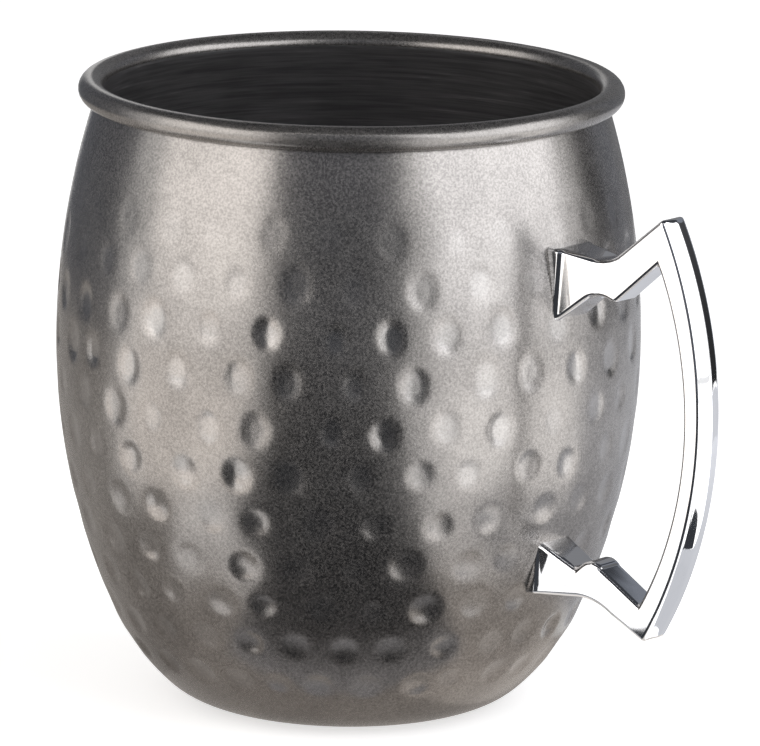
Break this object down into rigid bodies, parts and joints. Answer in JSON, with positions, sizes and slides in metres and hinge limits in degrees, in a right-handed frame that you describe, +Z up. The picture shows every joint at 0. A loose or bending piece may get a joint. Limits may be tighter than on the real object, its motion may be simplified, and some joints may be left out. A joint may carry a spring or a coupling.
{
  "type": "mule mug",
  "caption": "Barrel-shaped hammered steel mug with a rolled rim and a flat-sided cast chrome handle fixed to the wall from inside; holds a cold drink.",
  "frame": {"origin": "centre of the flat base, where the mug's axis meets the surface it stands on", "axes": "+Z up along the mug's axis, +X out through the middle of the handle, +Y completes a right-handed frame"},
  "size_m": [0.12, 0.0926, 0.1],
  "materials": {
    "antique_steel": "satin antique gunmetal, hammered",
    "polished_chrome": "mirror polished",
    "screw_steel": "plain stainless",
    "washer_rubber": "matte black"
  },
  "bodies": {
    "root": {"body_shell": "antique_steel", "handle": "polished_chrome", "upper_screw": "screw_steel", "lower_screw": "screw_steel", "upper_sealing_washer": "washer_rubber", "lower_sealing_washer": "washer_rubber"}
  },
  "joints": []
}
